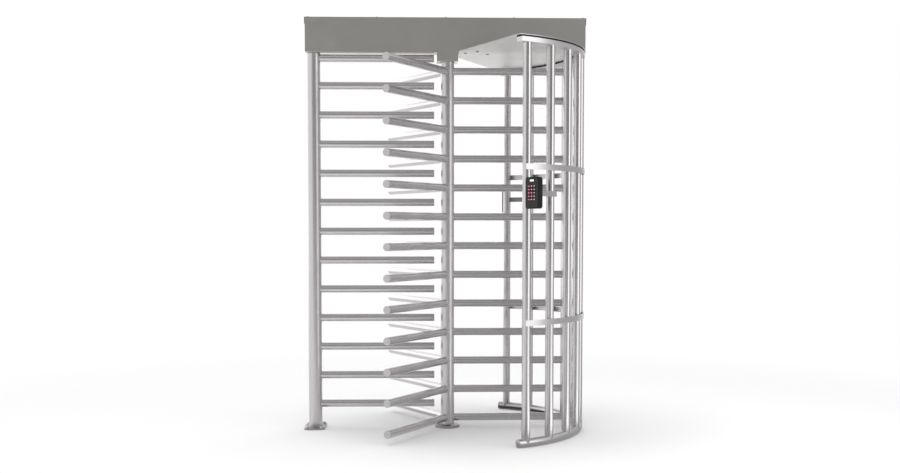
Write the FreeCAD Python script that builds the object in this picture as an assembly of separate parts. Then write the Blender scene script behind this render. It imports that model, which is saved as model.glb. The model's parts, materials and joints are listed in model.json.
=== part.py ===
import FreeCAD, Part
import math
import os

# Full height turnstile, in millimetres. The rotor turns about Z, the floor is at z = 0,
# people walk along Y, the comb stands on the -X side and the cage on the +X side.

# Heights and reach
passage_height = 2111.0
lowest_arm_height = 57.0
top_arm_clearance = 29.0
wing_reach = 660.0
wing_clearance = 60.0
post_clearance = 52.0

# Rotor: a column with wings of arms
wing_names = ["wing_right", "wing_rear_left", "wing_front_left"]
arm_count = 13
arm_diameter = 42.0
arm_wall = 1.5
arm_cap_thickness = 2.5
column_diameter = 76.0
column_wall = 3.0
column_rise_into_box = 22.0
plug_height = 40.0

# Floor disc, pivot pin and bush below the rotor
base_disc_diameter = 140.0
base_disc_thickness = 14.0
base_disc_chamfer = 2.0
base_bolt_circle = 110.0
base_bolt_hole = 11.0
base_bolt_count = 3
base_bolt_first_angle = 60.0
pivot_diameter = 40.0
pivot_socket_depth = 8.0
pivot_rise = 34.0
pivot_chamfer = 2.0
bush_wall = 5.0
bush_flange_thickness = 3.0
bush_flange_width = 4.0
running_clearance = 0.05
edge_pick_margin = 0.01

# Comb
comb_bar_diameter = 42.0
comb_bar_wall = 1.5
comb_cap_thickness = 2.5
comb_gap_to_column = 36.3
comb_top_gap = 7.0
post_diameter = 76.0
post_wall = 3.0
post_gasket_thickness = 2.0
post_plate_width = 116.0
post_plate_length = 200.0
post_plate_thickness = 10.0
post_plate_corner = 18.0
post_bolt_hole = 13.0
post_bolt_edge = 16.0
post_bolt_end_edge = 22.0
post_screw_diameter = 12.0
post_screw_depth = 20.0
post_screw_head_diameter = 18.0
post_screw_head_height = 6.0
post_screw_count = 4
post_screw_first_angle = 45.0
post_screw_edge = 6.0

# Cage
cage_tube_diameter = 45.0
cage_tube_wall = 2.0
cage_bar_count = 10
cage_half_angle = 58.45
rail_end_overhang = 47.0
rail_cap_dome = 5.0
rail_cap_rim = 2.0
rail_cap_spigot = 10.0
top_rail_width = 50.0
top_rail_height = 24.0
top_rail_wall = 2.5
band_height = 30.0
band_thickness = 5.0
upper_band_height = 1447.0
lower_band_height = 646.0
skin_gap = 0.3

# Canopy
canopy_thickness = 3.0
canopy_overhang = 7.5
canopy_half_angle = 63.3
canopy_seal_thickness = 8.0
canopy_seal_inset = 0.5
canopy_apex_gap = 3.0
canopy_angle_width = 60.0
canopy_angle_height = 24.0
canopy_angle_thickness = 4.0
canopy_angle_start = 140.0
canopy_angle_end_gap = 210.0
canopy_screw_head_diameter = 16.0
canopy_screw_head_height = 4.5
canopy_screw_diameter = 8.0
canopy_near_screw_x = 100.0
canopy_near_screw_y = -44.0
canopy_middle_screw_x = 225.0
canopy_middle_screw_y = -8.0
canopy_outer_screw_x = 163.0
canopy_outer_screw_edge = 14.0

# Header
header_depth = 120.0
header_height = 187.5
header_wall = 2.0
header_flange = 16.0
header_rotor_hole = 74.0
header_post_overhang = 3.5
header_cage_overhang = 5.0
lid_thickness = 3.0
lid_skirt_height = 36.0
lid_skirt_wall = 2.0
lid_end_overhang = 4.0
lid_skirt_foot_gap = 0.6
lid_edge_overhang = 1.0
lid_screw_head_diameter = 14.0
lid_screw_head_height = 3.5
lid_screw_diameter = 6.0
lid_screw_count = 5
bearing_box_width = 118.0
bearing_box_height = 49.0
bearing_box_wall = 2.0
bearing_box_column_gap = 4.0
relief_notch_width = 14.0
relief_notch_height = 8.0

# Mechanism in the header
mechanism_plate_thickness = 8.0
mechanism_plate_length = 470.0
mechanism_plate_start = -150.0
mechanism_plate_margin = 3.0
mechanism_plate_screw_hole = 16.0
shaft_diameter = 38.0
bearing_bore = 30.0
bearing_outside = 62.0
bearing_width = 16.0
bearing_ring_thickness = 5.0
bearing_shield_thickness = 1.5
spindle_flange_diameter = 64.0
spindle_flange_thickness = 8.0
spindle_socket_depth = 30.0
housing_wall = 12.0
housing_floor = 8.0
bearing_cover_thickness = 6.0
spacer_length = 12.0
spacer_wall = 5.0
lock_wheel_diameter = 88.0
lock_wheel_thickness = 12.0
lock_notch_count = 12
lock_notch_width = 10.0
lock_notch_depth = 8.0
gear_module = 2.0
gear_teeth = 45
gear_width = 14.0
gear_hub_length = 6.0
gear_hub_diameter = 50.0
pinion_teeth = 15
tooth_backlash = 0.35
pressure_angle = 20.0
tooth_root_depth_in_modules = 1.25
key_width = 8.0
key_depth_in_shaft = 4.0
key_height = 7.0
key_fit = 0.1
cut_overrun = 1.0
nut_thickness = 10.0
nut_across_flats = 46.0
nut_gap_to_bridge = 6.0
pawl_pivot_x = 60.0
pawl_pivot_y = 40.0
pawl_pin_diameter = 10.0
pawl_boss_diameter = 19.0
pawl_nose_width = 6.0
pawl_nose_length = 7.0
pawl_nose_gap = 2.5
pawl_lever_width = 10.0
pawl_throw_angle = 10.0
pawl_shim = 0.3
pawl_pin_head_diameter = 15.0
pawl_pin_head_height = 2.5
plunger_diameter = 8.0
plunger_tip_gap = 0.4
plunger_tip_chamfer = 2.0
plunger_length = 46.0
solenoid_length = 56.0
solenoid_width = 34.0
solenoid_gap = 26.0
solenoid_foot = 6.0
solenoid_bore_gap = 0.6
solenoid_bore_depth = 45.0
bridge_length = 202.0
bridge_thickness = 6.0
pillar_diameter = 12.0
pillar_edge = 9.0
damper_diameter = 64.0
damper_height = 60.0
damper_shaft_diameter = 10.0
damper_shaft_gap = 0.5
damper_flange_width = 72.0
damper_flange_thickness = 6.0
control_box_length = 210.0
control_box_height = 70.0
control_box_end_gap = 159.0
power_box_length = 150.0
power_box_height = 60.0
power_box_end_gap = 170.0
box_side_gap = 14.0
box_edge_radius = 4.0

# Readers
reader_width = 93.0
reader_height = 160.0
reader_depth = 30.0
reader_corner = 14.0
reader_edge = 3.0
reader_gap_below_band = 107.0
reader_front_angle = 50.0
reader_rear_angle = 75.0
reader_bar_gap = 1.5
reader_forward = 20.0
reader_panel_margin = 4.0
reader_panel_thickness = 2.0
reader_panel_corner = 10.5
reader_window_width = 27.0
reader_window_height = 9.0
reader_window_drop = 18.0
reader_window_corner = 3.5
reader_strip_height = 28.0
reader_strip_thickness = 4.0
reader_tab_reach = 62.0

# Worked out from the sizes above
arm_radius = arm_diameter / 2
column_radius = column_diameter / 2
column_bore = column_radius - column_wall
bearing_box_floor = passage_height - bearing_box_height
top_arm_height = bearing_box_floor - top_arm_clearance - arm_radius
arm_pitch = (top_arm_height - lowest_arm_height) / (arm_count - 1)
wing_angles = [index * 360.0 / len(wing_names) for index in range(len(wing_names))]
column_foot = base_disc_thickness + bush_flange_thickness
column_top = bearing_box_floor + column_rise_into_box
comb_radius = comb_bar_diameter / 2
post_radius = post_diameter / 2
post_x = -(wing_reach + post_clearance + post_radius)
comb_end_x = -(column_radius + comb_gap_to_column)
cage_tube_radius = cage_tube_diameter / 2
cage_radius = wing_reach + wing_clearance + cage_tube_radius
cage_outside = cage_radius + cage_tube_radius
rail_half_angle = cage_half_angle + math.degrees(rail_end_overhang / cage_radius)
top_rail_top = passage_height - canopy_thickness - canopy_seal_thickness
top_rail_foot = top_rail_top - top_rail_height
band_inside = cage_outside + skin_gap
band_reach_angle = math.degrees(math.asin(cage_tube_radius / cage_outside))
canopy_radius = cage_outside + canopy_overhang
canopy_foot = passage_height - canopy_thickness
reader_strip_top = upper_band_height - band_height / 2 - reader_gap_below_band
reader_middle_height = reader_strip_top - reader_strip_height / 2
header_half_depth = header_depth / 2
header_left = post_x - post_radius - header_post_overhang
header_right = cage_outside + header_cage_overhang
header_floor = passage_height + header_wall
header_top = passage_height + header_height
plate_foot = header_floor
plate_top = plate_foot + mechanism_plate_thickness
plate_half_depth = header_half_depth - header_wall - mechanism_plate_margin
bearing_foot = plate_top + housing_floor
bearing_top = bearing_foot + bearing_width
housing_top = bearing_top + bearing_cover_thickness
lock_wheel_foot = bearing_top + spacer_length
lock_wheel_top = lock_wheel_foot + lock_wheel_thickness
lock_wheel_radius = lock_wheel_diameter / 2
gear_foot = lock_wheel_top + gear_hub_length
gear_top = gear_foot + gear_width
nut_top = gear_top + nut_thickness
bridge_foot = nut_top + nut_gap_to_bridge
bridge_top = bridge_foot + bridge_thickness
gear_centre_distance = gear_module * (gear_teeth + pinion_teeth) / 2


def save(node, *shapes):
    """Write one node; several shapes stay separate solids in it."""
    shape = shapes[0] if len(shapes) == 1 else Part.makeCompound(list(shapes))
    shape.exportStep(os.path.join("parts", node + ".step"))


def block(x0, x1, y0, y1, z0, z1):
    return Part.makeBox(x1 - x0, y1 - y0, z1 - z0, FreeCAD.Vector(x0, y0, z0))


def round_bar(radius, start, axis, length):
    return Part.makeCylinder(radius, length, FreeCAD.Vector(*start), FreeCAD.Vector(*axis))


def upright(radius, z0, z1, x=0.0, y=0.0):
    return round_bar(radius, (x, y, z0), (0, 0, 1), z1 - z0)


def upright_tube(radius, wall, z0, z1, x=0.0, y=0.0):
    return upright(radius, z0, z1, x, y).cut(upright(radius - wall, z0, z1, x, y))


def turned(shape, degrees):
    """A copy of a shape, turned about the rotor's axis."""
    copy = shape.copy()
    copy.rotate(FreeCAD.Vector(0, 0, 0), FreeCAD.Vector(0, 0, 1), degrees)
    return copy


def mirrored_in_y(shape):
    return shape.mirror(FreeCAD.Vector(0, 0, 0), FreeCAD.Vector(0, 1, 0))


def mirrored_in_x(shape):
    return shape.mirror(FreeCAD.Vector(0, 0, 0), FreeCAD.Vector(1, 0, 0))


def swept_about_axis(profile, start_angle, end_angle):
    """Revolve a face, drawn in the XZ plane, between two angles about the rotor's axis."""
    face = turned(profile, start_angle)
    return face.revolve(FreeCAD.Vector(0, 0, 0), FreeCAD.Vector(0, 0, 1), end_angle - start_angle)


def rectangle_face(r0, r1, z0, z1):
    corners = [(r0, z0), (r1, z0), (r1, z1), (r0, z1), (r0, z0)]
    return Part.Face(Part.makePolygon([FreeCAD.Vector(r, 0, z) for r, z in corners]))


def round_face(centre_radius, height, radius):
    centre = FreeCAD.Vector(centre_radius, 0, height)
    return Part.Face(Part.Wire(Part.Circle(centre, FreeCAD.Vector(0, 1, 0), radius).toShape()))


def curved_strip(r0, r1, z0, z1, start_angle, end_angle):
    return swept_about_axis(rectangle_face(r0, r1, z0, z1), start_angle, end_angle)


def polygon_prism(points, z0, z1):
    """Upright prism on a closed outline of (x, y) points."""
    outline = [FreeCAD.Vector(x, y, z0) for x, y in points]
    face = Part.Face(Part.makePolygon(outline + outline[:1]))
    return face.extrude(FreeCAD.Vector(0, 0, z1 - z0))


def polar(radius, degrees):
    angle = math.radians(degrees)
    return radius * math.cos(angle), radius * math.sin(angle)


def arm_heights():
    return [lowest_arm_height + arm_pitch * step for step in range(arm_count)]


def comb_heights():
    """Between the arms, and one bar close under the header."""
    between = [height + arm_pitch / 2 for height in arm_heights()[:-1]]
    return between + [passage_height - comb_top_gap - comb_radius]


def cage_angles():
    step = 2 * cage_half_angle / (cage_bar_count - 1)
    return [-cage_half_angle + step * place for place in range(cage_bar_count)]


# Floor disc and pivot

def rotor_base_disc():
    disc = upright(base_disc_diameter / 2, 0, base_disc_thickness)
    rim = [edge for edge in disc.Edges if edge.BoundBox.ZMin > base_disc_thickness / 2]
    disc = disc.makeChamfer(base_disc_chamfer, rim)
    socket_foot = base_disc_thickness - pivot_socket_depth
    disc = disc.cut(upright(pivot_diameter / 2, socket_foot, base_disc_thickness))
    for place in range(base_bolt_count):
        angle = base_bolt_first_angle + place * 360 / base_bolt_count
        x, y = polar(base_bolt_circle / 2, angle)
        disc = disc.cut(upright(base_bolt_hole / 2, 0, base_disc_thickness, x, y))
    return disc


def floor_pivot_pin():
    foot = base_disc_thickness - pivot_socket_depth
    top = base_disc_thickness + pivot_rise
    pin = upright(pivot_diameter / 2, foot, top)
    crown = [edge for edge in pin.Edges if edge.BoundBox.ZMin > top - edge_pick_margin]
    return pin.makeChamfer(pivot_chamfer, crown)


def lower_bush():
    inside = pivot_diameter / 2 + running_clearance
    outside = inside + bush_wall
    sleeve = upright_tube(outside, bush_wall, base_disc_thickness, column_foot + plug_height)
    flange = upright_tube(outside + bush_flange_width, bush_wall + bush_flange_width,
                          base_disc_thickness, column_foot)
    return sleeve.fuse(flange).removeSplitter()


# Rotor

def rotor_column():
    return upright_tube(column_radius, column_wall, column_foot, column_top)


def column_bottom_plug():
    bush_radius = pivot_diameter / 2 + running_clearance + bush_wall
    return upright_tube(column_bore, column_bore - bush_radius,
                        column_foot, column_foot + plug_height)


def column_top_plug():
    plug = upright(column_bore, column_top - plug_height, column_top)
    return plug.cut(upright(shaft_diameter / 2, column_top - spindle_socket_depth, column_top))


def wing_arm(height):
    """A closed tube along +X, its root saddled to the column, its tip open for the cap."""
    length = wing_reach - arm_cap_thickness
    outer = round_bar(arm_radius, (0, 0, height), (1, 0, 0), length)
    inner = round_bar(arm_radius - arm_wall, (0, 0, height), (1, 0, 0), length)
    column = upright(column_radius, height - arm_diameter, height + arm_diameter)
    return outer.cut(inner).cut(column)


def arm_cap(height):
    foot = wing_reach - arm_cap_thickness
    return round_bar(arm_radius, (foot, 0, height), (1, 0, 0), arm_cap_thickness)


# Comb

def comb_post():
    return upright_tube(post_radius, post_wall, post_plate_thickness,
                        passage_height - post_gasket_thickness, post_x)


def post_gasket():
    return upright_tube(post_radius, post_wall, passage_height - post_gasket_thickness,
                        passage_height, post_x)


def post_base_plate():
    half_width = post_plate_width / 2
    half_length = post_plate_length / 2
    corner = post_plate_corner
    quarter = [(half_width - corner, half_length), (half_width, half_length - corner)]
    outline = quarter + [(x, -y) for x, y in reversed(quarter)]
    outline = outline + [(-x, y) for x, y in reversed(outline)]
    plate = polygon_prism([(post_x + x, y) for x, y in outline], 0, post_plate_thickness)
    for x, y in post_bolt_places():
        plate = plate.cut(upright(post_bolt_hole / 2, 0, post_plate_thickness, x, y))
    return plate


def post_bolt_places():
    reach_x = post_plate_width / 2 - post_bolt_edge
    reach_y = post_plate_length / 2 - post_bolt_end_edge
    return [(post_x + x, y) for x in (-reach_x, reach_x) for y in (-reach_y, reach_y)]


def comb_bar(height):
    """A tube from the post's wall towards the rotor, saddled to the post."""
    length = comb_end_x - comb_cap_thickness - post_x
    outer = round_bar(comb_radius, (post_x, 0, height), (1, 0, 0), length)
    inner = round_bar(comb_radius - comb_bar_wall, (post_x, 0, height), (1, 0, 0), length)
    post = upright(post_radius, height - comb_bar_diameter, height + comb_bar_diameter, post_x)
    return outer.cut(inner).cut(post)


def comb_cap(height):
    foot = comb_end_x - comb_cap_thickness
    return round_bar(comb_radius, (foot, 0, height), (1, 0, 0), comb_cap_thickness)


# Cage

def bottom_rail():
    tube = swept_about_axis(round_face(cage_radius, cage_tube_radius, cage_tube_radius),
                            -rail_half_angle, rail_half_angle)
    bore_radius = cage_tube_radius - cage_tube_wall
    bore = swept_about_axis(round_face(cage_radius, cage_tube_radius, bore_radius),
                            -rail_half_angle, rail_half_angle)
    return tube.cut(bore)


def rail_end_cap():
    """A domed cap with a rim and a spigot in the rail's bore, drawn at angle 0 and turned."""
    sphere_radius = (cage_tube_radius ** 2 + rail_cap_dome ** 2) / (2 * rail_cap_dome)
    dome_foot = -rail_cap_rim
    centre = FreeCAD.Vector(cage_radius, dome_foot + sphere_radius - rail_cap_dome,
                            cage_tube_radius)
    ball = Part.makeSphere(sphere_radius, centre)
    reach = sphere_radius + cage_tube_diameter
    outside = block(cage_radius - reach, cage_radius + reach, dome_foot - reach, dome_foot,
                    cage_tube_radius - reach, cage_tube_radius + reach)
    rim = round_bar(cage_tube_radius, (cage_radius, dome_foot, cage_tube_radius),
                    (0, 1, 0), rail_cap_rim)
    spigot_radius = cage_tube_radius - cage_tube_wall - skin_gap
    spigot = round_bar(spigot_radius, (cage_radius, 0, cage_tube_radius),
                       (0, 1, 0), rail_cap_spigot)
    cap = ball.common(outside).fuse([rim, spigot]).removeSplitter()
    return turned(cap, -rail_half_angle)


def cage_bar(angle):
    """An upright tube, saddled to the bottom rail and butted to the top rail."""
    x, y = polar(cage_radius, angle)
    bar = upright_tube(cage_tube_radius, cage_tube_wall, cage_tube_radius, top_rail_foot, x, y)
    reach = math.degrees(cage_tube_diameter / cage_radius)
    rail = swept_about_axis(round_face(cage_radius, cage_tube_radius, cage_tube_radius),
                            angle - reach, angle + reach)
    return bar.cut(rail)


def top_rail():
    r0 = cage_radius - top_rail_width / 2
    r1 = cage_radius + top_rail_width / 2
    outer = curved_strip(r0, r1, top_rail_foot, top_rail_top, -rail_half_angle, rail_half_angle)
    wall_angle = math.degrees(top_rail_wall / cage_radius)
    inner = curved_strip(r0 + top_rail_wall, r1 - top_rail_wall,
                         top_rail_foot + top_rail_wall, top_rail_top - top_rail_wall,
                         -rail_half_angle + wall_angle, rail_half_angle - wall_angle)
    return outer.cut(inner)


def outer_band(middle_height):
    reach = cage_half_angle + band_reach_angle
    return curved_strip(band_inside, band_inside + band_thickness,
                        middle_height - band_height / 2, middle_height + band_height / 2,
                        -reach, reach)


# Canopy

def canopy_outline(radius, half_angle, apex_x):
    """A sector with its point cut off beside the bearing box."""
    apex_y = apex_x * math.tan(math.radians(half_angle))
    corner_x, corner_y = polar(radius, half_angle)
    front_apex = FreeCAD.Vector(apex_x, -apex_y, canopy_foot)
    front_corner = FreeCAD.Vector(corner_x, -corner_y, canopy_foot)
    rim_middle = FreeCAD.Vector(radius, 0, canopy_foot)
    rear_corner = FreeCAD.Vector(corner_x, corner_y, canopy_foot)
    rear_apex = FreeCAD.Vector(apex_x, apex_y, canopy_foot)
    edges = [Part.makeLine(front_apex, front_corner),
             Part.Arc(front_corner, rim_middle, rear_corner).toShape(),
             Part.makeLine(rear_corner, rear_apex),
             Part.makeLine(rear_apex, front_apex)]
    return Part.Face(Part.Wire(edges))


def canopy_screw_places():
    outer_y = -(header_half_depth + canopy_angle_width - canopy_outer_screw_edge)
    return [(canopy_near_screw_x, canopy_near_screw_y),
            (canopy_middle_screw_x, canopy_middle_screw_y),
            (canopy_outer_screw_x, outer_y)]


def canopy_plate():
    apex_x = bearing_box_width / 2 + canopy_apex_gap
    sheet = canopy_outline(canopy_radius, canopy_half_angle, apex_x)
    plate = sheet.extrude(FreeCAD.Vector(0, 0, canopy_thickness))
    for x, y in canopy_screw_places():
        plate = plate.cut(upright(canopy_screw_diameter / 2, canopy_foot, passage_height, x, y))
    return plate


def screw_head(diameter, height, x, y, seat, direction):
    """A head that narrows away from its seat."""
    return Part.makeCone(diameter / 2, diameter / 2 - height / 2, height,
                         FreeCAD.Vector(x, y, seat), FreeCAD.Vector(0, 0, direction))


def canopy_screw(x, y):
    """A head below the canopy and a shank through it and the sheet above."""
    above = max(header_wall, canopy_angle_thickness)
    head = screw_head(canopy_screw_head_diameter, canopy_screw_head_height, x, y,
                      canopy_foot, -1)
    shank = upright(canopy_screw_diameter / 2, canopy_foot, passage_height + above, x, y)
    return head.fuse(shank)


def canopy_angle():
    """A folded angle on top of the canopy, its upright leg against the header's front."""
    x0 = canopy_angle_start
    x1 = header_right - canopy_angle_end_gap
    back = -header_half_depth
    flat = block(x0, x1, back - canopy_angle_width, back,
                 passage_height, passage_height + canopy_angle_thickness)
    leg = block(x0, x1, back - canopy_angle_thickness, back,
                passage_height, passage_height + canopy_angle_height)
    angle = flat.fuse(leg).removeSplitter()
    x, y = canopy_screw_places()[2]
    top = passage_height + canopy_angle_thickness
    return angle.cut(upright(canopy_screw_diameter / 2, passage_height, top, x, y))


def canopy_seal():
    r0 = cage_radius - top_rail_width / 2 + canopy_seal_inset
    r1 = cage_radius + top_rail_width / 2 - canopy_seal_inset
    return curved_strip(r0, r1, top_rail_top, canopy_foot, -rail_half_angle, rail_half_angle)


# Header

def header_housing():
    """A folded tray with return flanges along its open top."""
    tray = block(header_left, header_right, -header_half_depth, header_half_depth,
                 passage_height, header_top)
    room = block(header_left + header_wall, header_right - header_wall,
                 -header_half_depth + header_wall, header_half_depth - header_wall,
                 header_floor, header_top - header_wall)
    mouth = block(header_left + header_flange, header_right - header_flange,
                  -header_half_depth + header_flange, header_half_depth - header_flange,
                  header_top - header_wall, header_top)
    tray = tray.cut(room).cut(mouth)
    tray = tray.cut(upright(header_rotor_hole / 2, passage_height, header_floor))
    notch_end = -(bearing_box_width / 2)
    for side in (-1, 1):
        y0, y1 = sorted((side * header_half_depth, side * (header_half_depth - header_wall)))
        tray = tray.cut(block(notch_end - relief_notch_width, notch_end, y0, y1,
                              passage_height, passage_height + relief_notch_height))
    for x, y in canopy_screw_places()[:2]:
        tray = tray.cut(upright(canopy_screw_diameter / 2, passage_height, header_floor, x, y))
    for x, y in post_screw_places():
        tray = tray.cut(upright(post_screw_diameter / 2, passage_height, header_floor, x, y))
    for x, y in lid_screw_places():
        tray = tray.cut(upright(lid_screw_diameter / 2, header_top - header_wall, header_top, x, y))
    return tray


def lid_screw_places():
    span = header_right - header_left - 2 * header_flange
    step = span / (lid_screw_count - 1)
    reach = header_half_depth - header_flange / 2
    return [(header_left + header_flange + step * place, side * reach)
            for place in range(lid_screw_count) for side in (-1, 1)]


def header_lid():
    """A flat top whose end skirts lean in to the tray, like a drip edge."""
    edge_y = header_half_depth + lid_edge_overhang
    top = header_top + lid_thickness
    foot = header_top - lid_skirt_height
    lid = block(header_left - lid_end_overhang, header_right + lid_end_overhang,
                -edge_y, edge_y, header_top, top)
    for end, side in ((header_left, -1), (header_right, 1)):
        section = [(end + side * lid_end_overhang, top),
                   (end + side * (lid_skirt_foot_gap + lid_skirt_wall), foot),
                   (end + side * lid_skirt_foot_gap, foot),
                   (end + side * (lid_end_overhang - lid_skirt_wall), header_top)]
        points = [FreeCAD.Vector(x, -edge_y, z) for x, z in section]
        skirt = Part.Face(Part.makePolygon(points + points[:1]))
        lid = lid.fuse(skirt.extrude(FreeCAD.Vector(0, 2 * edge_y, 0)))
    for x, y in lid_screw_places():
        lid = lid.cut(upright(lid_screw_diameter / 2, header_top, top, x, y))
    return lid.removeSplitter()


def lid_screw(x, y):
    seat = header_top + lid_thickness
    head = screw_head(lid_screw_head_diameter, lid_screw_head_height, x, y, seat, 1)
    return head.fuse(upright(lid_screw_diameter / 2, header_top - header_wall, seat, x, y))


def bearing_box():
    """A folded cover open to the header, with a hole for the column in its floor."""
    half = bearing_box_width / 2
    outer = block(-half, half, -header_half_depth, header_half_depth,
                  bearing_box_floor, passage_height)
    wall = bearing_box_wall
    inner = block(-half + wall, half - wall, -header_half_depth + wall, header_half_depth - wall,
                  bearing_box_floor + wall, passage_height)
    hole = upright(column_radius + bearing_box_column_gap, bearing_box_floor,
                   bearing_box_floor + wall)
    return outer.cut(inner).cut(hole)


def post_screw_places():
    circle = post_radius - post_wall - post_screw_edge - post_screw_diameter / 2
    angles = [post_screw_first_angle + 360 * place / post_screw_count
              for place in range(post_screw_count)]
    return [(post_x + x, y) for x, y in (polar(circle, angle) for angle in angles)]


def post_top_plug():
    top = passage_height - post_gasket_thickness
    plug = upright(post_radius - post_wall, top - plug_height, top, post_x)
    for x, y in post_screw_places():
        plug = plug.cut(upright(post_screw_diameter / 2, top - post_screw_depth, top, x, y))
    return plug


def post_screw(x, y):
    shank_foot = passage_height - post_gasket_thickness - post_screw_depth
    shank = upright(post_screw_diameter / 2, shank_foot, header_floor, x, y)
    head = upright(post_screw_head_diameter / 2, header_floor,
                   header_floor + post_screw_head_height, x, y)
    return shank.fuse(head)


# Mechanism

def mechanism_plate():
    plate = block(mechanism_plate_start, mechanism_plate_start + mechanism_plate_length,
                  -plate_half_depth, plate_half_depth, plate_foot, plate_top)
    plate = plate.cut(upright(bearing_outside / 2, plate_foot, plate_top))
    for x, y in canopy_screw_places()[:2]:
        plate = plate.cut(upright(mechanism_plate_screw_hole / 2, plate_foot, plate_top, x, y))
    return plate


def bearing_housing():
    """A square flange with a round boss that holds the upper bearing."""
    outside = bearing_outside / 2 + housing_wall
    shaft_hole = shaft_diameter / 2 + bearing_ring_thickness / 2
    body = upright(outside, plate_top, housing_top)
    seat = upright(bearing_outside / 2, bearing_foot, housing_top)
    hole = upright(shaft_hole, plate_top, bearing_foot)
    return body.cut(seat).cut(hole)


def bearing_inner_ring():
    inside = bearing_bore / 2
    return upright_tube(inside + bearing_ring_thickness, bearing_ring_thickness,
                        bearing_foot, bearing_top)


def bearing_outer_ring():
    """The outer ring with a shield on each face, which hides the balls' track."""
    outside = bearing_outside / 2
    inside = bearing_bore / 2 + bearing_ring_thickness + skin_gap
    ring = upright_tube(outside, outside - inside, bearing_foot, bearing_top)
    track = outside - bearing_ring_thickness
    return ring.cut(upright(track, bearing_foot + bearing_shield_thickness,
                            bearing_top - bearing_shield_thickness))


def bearing_cover():
    inside = bearing_outside / 2 - bearing_ring_thickness
    return upright_tube(bearing_outside / 2, bearing_outside / 2 - inside,
                        bearing_top, housing_top)


def keyway_cutter(z0, z1, outward):
    """The slot for the drive key, on the shaft's -X side, with the given height above it."""
    shaft = bearing_bore / 2
    half = key_width / 2 + key_fit
    return block(-(shaft + outward), -(shaft - key_depth_in_shaft), -half, half, z0, z1)


def rotor_spindle():
    """Socketed and flanged on the column, stepped for the bearing, keyed above it."""
    thick = upright(shaft_diameter / 2, column_top - spindle_socket_depth, bearing_foot)
    flange = upright(spindle_flange_diameter / 2, column_top, column_top + spindle_flange_thickness)
    thin = upright(bearing_bore / 2, bearing_foot, nut_top)
    spindle = thick.fuse([flange, thin]).removeSplitter()
    return spindle.cut(keyway_cutter(lock_wheel_foot, gear_top, cut_overrun))


def drive_key():
    shaft = bearing_bore / 2
    half = key_width / 2
    return block(-(shaft - key_depth_in_shaft + key_height), -(shaft - key_depth_in_shaft),
                 -half, half, lock_wheel_foot, gear_top)


def spindle_spacer():
    return upright_tube(bearing_bore / 2 + spacer_wall, spacer_wall, bearing_top, lock_wheel_foot)


def keyed_bore(z0, z1):
    headroom = key_height - key_depth_in_shaft + key_fit
    return upright(bearing_bore / 2, z0, z1).fuse(keyway_cutter(z0, z1, headroom))


def lock_wheel():
    """A disc with evenly spaced notches for the pawls."""
    wheel = upright(lock_wheel_radius, lock_wheel_foot, lock_wheel_top)
    half = lock_notch_width / 2
    notch = block(lock_wheel_radius - lock_notch_depth, lock_wheel_radius + cut_overrun,
                  -half, half, lock_wheel_foot, lock_wheel_top)
    for place in range(lock_notch_count):
        wheel = wheel.cut(turned(notch, place * 360 / lock_notch_count))
    return wheel.cut(keyed_bore(lock_wheel_foot, lock_wheel_top))


def tooth_half_angle(teeth, radius):
    """Half of a tooth's angle at a radius, from its involute flanks, in radians."""
    pitch_radius = gear_module * teeth / 2
    pressure = math.radians(pressure_angle)
    base_radius = pitch_radius * math.cos(pressure)
    local = math.acos(min(1.0, base_radius / radius))
    involute = math.tan(local) - local
    involute_at_pitch = math.tan(pressure) - pressure
    half_at_pitch = (math.pi * gear_module / 2 - tooth_backlash) / 2 / pitch_radius
    return half_at_pitch + involute_at_pitch - involute


def gear_outline(teeth):
    """Involute teeth, with one tooth centred on +X."""
    pitch_radius = gear_module * teeth / 2
    base_radius = pitch_radius * math.cos(math.radians(pressure_angle))
    root = pitch_radius - tooth_root_depth_in_modules * gear_module
    tip = pitch_radius + gear_module
    flank_foot = max(root, base_radius)
    flank = [flank_foot + (tip - flank_foot) * share for share in (0.0, 0.5, 1.0)]
    points = []
    for tooth in range(teeth):
        middle = 2 * math.pi * tooth / teeth
        foot_angle = tooth_half_angle(teeth, flank_foot)
        rising = [(root, -foot_angle)] + [(r, -tooth_half_angle(teeth, r)) for r in flank]
        if root >= base_radius:
            rising = rising[1:]
        side = rising + [(r, -angle) for r, angle in reversed(rising)]
        points += [(r * math.cos(middle + angle), r * math.sin(middle + angle))
                   for r, angle in side]
    return points


def drive_gear():
    rim = polygon_prism(gear_outline(gear_teeth), gear_foot, gear_top)
    hub = upright(gear_hub_diameter / 2, lock_wheel_top, gear_foot)
    return rim.fuse(hub).removeSplitter().cut(keyed_bore(lock_wheel_top, gear_top))


def spindle_nut():
    corner = nut_across_flats / 2 / math.cos(math.pi / 6)
    outline = [polar(corner, 60 * place) for place in range(6)]
    nut = polygon_prism(outline, gear_top, nut_top)
    return nut.cut(upright(bearing_bore / 2, gear_top, nut_top))


def damper_pinion():
    """The damper's shaft with its pinion, in mesh with the drive gear."""
    pinion = polygon_prism(gear_outline(pinion_teeth), gear_foot, gear_top)
    pinion.translate(FreeCAD.Vector(gear_centre_distance, 0, 0))
    shaft = upright(damper_shaft_diameter / 2, gear_top, bridge_top, gear_centre_distance)
    return pinion.fuse(shaft)


def damper_body():
    """A can on a square flange above the bridge plate, over the end of its shaft."""
    half = damper_flange_width / 2
    can = upright(damper_diameter / 2, bridge_top, bridge_top + damper_height,
                  gear_centre_distance)
    flange = block(gear_centre_distance - half, gear_centre_distance + half, -half, half,
                   bridge_top, bridge_top + damper_flange_thickness)
    return can.fuse(flange).removeSplitter()


def bridge_plate():
    half = bridge_length / 2
    plate = block(-half, half, -plate_half_depth, plate_half_depth, bridge_foot, bridge_top)
    hole = damper_shaft_diameter / 2 + damper_shaft_gap
    return plate.cut(upright(hole, bridge_foot, bridge_top, gear_centre_distance))


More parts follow.
